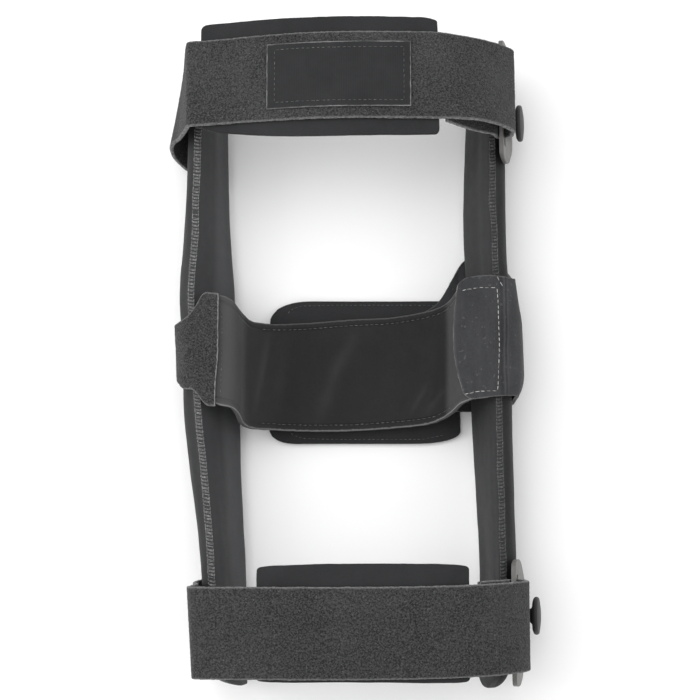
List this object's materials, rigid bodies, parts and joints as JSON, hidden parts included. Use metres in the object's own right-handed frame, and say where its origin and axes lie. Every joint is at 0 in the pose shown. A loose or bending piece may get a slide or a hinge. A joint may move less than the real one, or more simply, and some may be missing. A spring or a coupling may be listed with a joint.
{
  "type": "knee orthosis",
  "caption": "Knee brace with two padded side sleeves, padded thigh and calf straps in loop fabric, slotted side plates on press buttons and a band behind the knee.",
  "frame": {"origin": "under the middle of the bounding box, on the surface that the brace lies on", "axes": "+X from the left sleeve to the right sleeve, +Y up the leg towards the thigh strap, +Z from the back of the knee to the front"},
  "size_m": [0.2254, 0.3896, 0.1016],
  "materials": {
    "sleeve_fabric": "matte",
    "loop_fabric": "matte",
    "pad_fabric": "matte",
    "label_weave": "satin",
    "band_fabric": "matte",
    "tab_fabric": "matte",
    "plate_plastic": "satin",
    "button_plastic": "satin"
  },
  "bodies": {
    "root": {"left_upright_sleeve": "sleeve_fabric", "right_upright_sleeve": "sleeve_fabric", "thigh_strap": "loop_fabric", "calf_strap": "loop_fabric", "thigh_pad": "pad_fabric", "calf_pad": "pad_fabric", "label_patch": "label_weave", "popliteal_band": "band_fabric", "left_tab": "loop_fabric", "right_tab": "tab_fabric", "popliteal_pad": "pad_fabric", "upper_slot_plate": "plate_plastic", "lower_slot_plate": "plate_plastic", "upper_button": "button_plastic", "lower_button": "button_plastic"}
  },
  "joints": []
}
